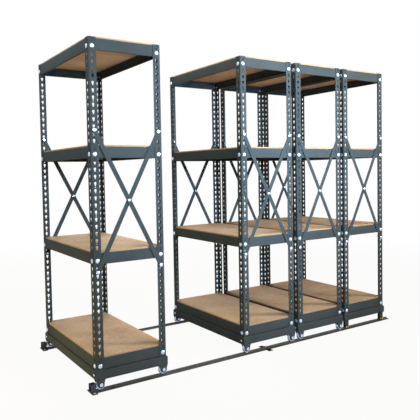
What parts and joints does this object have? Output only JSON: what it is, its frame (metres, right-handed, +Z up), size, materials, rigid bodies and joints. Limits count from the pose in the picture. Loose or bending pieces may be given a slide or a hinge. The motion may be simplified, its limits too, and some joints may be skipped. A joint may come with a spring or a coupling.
{
  "type": "mobile boltless rack",
  "caption": "Row of boltless shelving bays on floor tracks: wheeled carriages roll to open an aisle, the end bay is fixed; keyhole posts, beam rings, boards and cross braces.",
  "frame": {"origin": "floor level at the middle of the whole set's bounding box", "axes": "+X along the tracks, from the end stops towards the fixed bay; the front faces -Y; +Z up"},
  "size_m": [2.4324, 0.9886, 1.899],
  "materials": {
    "powder_coat": "blue-grey powder coat, satin",
    "chipboard": "raw pressed chipboard",
    "zinc_wheel": "bright zinc plate",
    "track_steel": "brown-grey, worn by the wheels",
    "black_steel": "black, satin"
  },
  "bodies": {
    "tracks": {"track_front_left": "track_steel", "track_front_right": "track_steel", "track_clip_front": "black_steel", "end_stop_front": "black_steel", "track_rear_left": "track_steel", "track_rear_right": "track_steel", "track_clip_rear": "black_steel", "end_stop_rear": "black_steel", "rack_frame_D": "powder_coat", "deck_D1": "chipboard", "deck_D2": "chipboard", "deck_D3": "chipboard", "deck_D4": "chipboard", "brace_D_front": "powder_coat", "brace_D_rear": "powder_coat", "base_D": "powder_coat"},
    "bay_A": {"post_A_front_left": "powder_coat", "post_A_front_right": "powder_coat", "post_A_rear_right": "powder_coat", "post_A_rear_left": "powder_coat", "shelf_frame_A1": "powder_coat", "shelf_frame_A2": "powder_coat", "shelf_frame_A3": "powder_coat", "shelf_frame_A4": "powder_coat", "deck_A1": "chipboard", "deck_A2": "chipboard", "deck_A3": "chipboard", "deck_A4": "chipboard", "brace_A_front": "powder_coat", "brace_A_rear": "powder_coat", "carriage_A": "powder_coat"},
    "bay_B": {"rack_frame_B": "powder_coat", "deck_B1": "chipboard", "deck_B2": "chipboard", "deck_B3": "chipboard", "deck_B4": "chipboard", "brace_B_front": "powder_coat", "brace_B_rear": "powder_coat", "carriage_B": "powder_coat"},
    "bay_C": {"rack_frame_C": "powder_coat", "deck_C1": "chipboard", "deck_C2": "chipboard", "deck_C3": "chipboard", "deck_C4": "chipboard", "brace_C_front": "powder_coat", "brace_C_rear": "powder_coat", "carriage_C": "powder_coat"},
    "wheel_A_front_left": {"wheel_A_front_left": "zinc_wheel"},
    "wheel_A_front_right": {"wheel_A_front_right": "zinc_wheel"},
    "wheel_A_rear_right": {"wheel_A_rear_right": "zinc_wheel"},
    "wheel_A_rear_left": {"wheel_A_rear_left": "zinc_wheel"},
    "wheel_B_front_left": {"wheel_B_front_left": "zinc_wheel"},
    "wheel_B_front_right": {"wheel_B_front_right": "zinc_wheel"},
    "wheel_B_rear_right": {"wheel_B_rear_right": "zinc_wheel"},
    "wheel_B_rear_left": {"wheel_B_rear_left": "zinc_wheel"},
    "wheel_C_front_left": {"wheel_C_front_left": "zinc_wheel"},
    "wheel_C_front_right": {"wheel_C_front_right": "zinc_wheel"},
    "wheel_C_rear_right": {"wheel_C_rear_right": "zinc_wheel"},
    "wheel_C_rear_left": {"wheel_C_rear_left": "zinc_wheel"}
  },
  "joints": [
    {"name": "roll_A", "type": "slide", "parent": "tracks", "child": "bay_A", "axis": [1, 0, 0], "range_m": [0, 0.548]},
    {"name": "roll_C", "type": "slide", "parent": "tracks", "child": "bay_C", "axis": [1, 0, 0], "range_m": [-0.274, 0.0117]},
    {"name": "roll_B", "type": "slide", "parent": "bay_C", "child": "bay_B", "axis": [1, 0, 0], "range_m": [-0.274, 0.0206]},
    {"name": "spin_A_front_left", "type": "hinge", "parent": "bay_A", "child": "wheel_A_front_left", "pos_m": [-1.15735, -0.438, 0.0345], "axis": [0, 1, 0], "continuous": true},
    {"name": "spin_A_front_right", "type": "hinge", "parent": "bay_A", "child": "wheel_A_front_right", "pos_m": [-0.77335, -0.438, 0.0345], "axis": [0, 1, 0], "continuous": true},
    {"name": "spin_A_rear_right", "type": "hinge", "parent": "bay_A", "child": "wheel_A_rear_right", "pos_m": [-0.77335, 0.438, 0.0345], "axis": [0, 1, 0], "continuous": true},
    {"name": "spin_A_rear_left", "type": "hinge", "parent": "bay_A", "child": "wheel_A_rear_left", "pos_m": [-1.15735, 0.438, 0.0345], "axis": [0, 1, 0], "continuous": true},
    {"name": "spin_B_front_left", "type": "hinge", "parent": "bay_B", "child": "wheel_B_front_left", "pos_m": [-0.16265, -0.438, 0.0345], "axis": [0, 1, 0], "continuous": true},
    {"name": "spin_B_front_right", "type": "hinge", "parent": "bay_B", "child": "wheel_B_front_right", "pos_m": [0.22135, -0.438, 0.0345], "axis": [0, 1, 0], "continuous": true},
    {"name": "spin_B_rear_right", "type": "hinge", "parent": "bay_B", "child": "wheel_B_rear_right", "pos_m": [0.22135, 0.438, 0.0345], "axis": [0, 1, 0], "continuous": true},
    {"name": "spin_B_rear_left", "type": "hinge", "parent": "bay_B", "child": "wheel_B_rear_left", "pos_m": [-0.16265, 0.438, 0.0345], "axis": [0, 1, 0], "continuous": true},
    {"name": "spin_C_front_left", "type": "hinge", "parent": "bay_C", "child": "wheel_C_front_left", "pos_m": [0.30445, -0.438, 0.0345], "axis": [0, 1, 0], "continuous": true},
    {"name": "spin_C_front_right", "type": "hinge", "parent": "bay_C", "child": "wheel_C_front_right", "pos_m": [0.68845, -0.438, 0.0345], "axis": [0, 1, 0], "continuous": true},
    {"name": "spin_C_rear_right", "type": "hinge", "parent": "bay_C", "child": "wheel_C_rear_right", "pos_m": [0.68845, 0.438, 0.0345], "axis": [0, 1, 0], "continuous": true},
    {"name": "spin_C_rear_left", "type": "hinge", "parent": "bay_C", "child": "wheel_C_rear_left", "pos_m": [0.30445, 0.438, 0.0345], "axis": [0, 1, 0], "continuous": true}
  ],
  "couplings": [
    {"joint": "spin_A_front_left", "follows": "roll_A", "rad_per_m": 46.083},
    {"joint": "spin_A_front_right", "follows": "roll_A", "rad_per_m": 46.083},
    {"joint": "spin_A_rear_right", "follows": "roll_A", "rad_per_m": 46.083},
    {"joint": "spin_A_rear_left", "follows": "roll_A", "rad_per_m": 46.083},
    {"joint": "spin_C_front_left", "follows": "roll_C", "rad_per_m": 46.083},
    {"joint": "spin_C_front_right", "follows": "roll_C", "rad_per_m": 46.083},
    {"joint": "spin_C_rear_right", "follows": "roll_C", "rad_per_m": 46.083},
    {"joint": "spin_C_rear_left", "follows": "roll_C", "rad_per_m": 46.083}
  ]
}
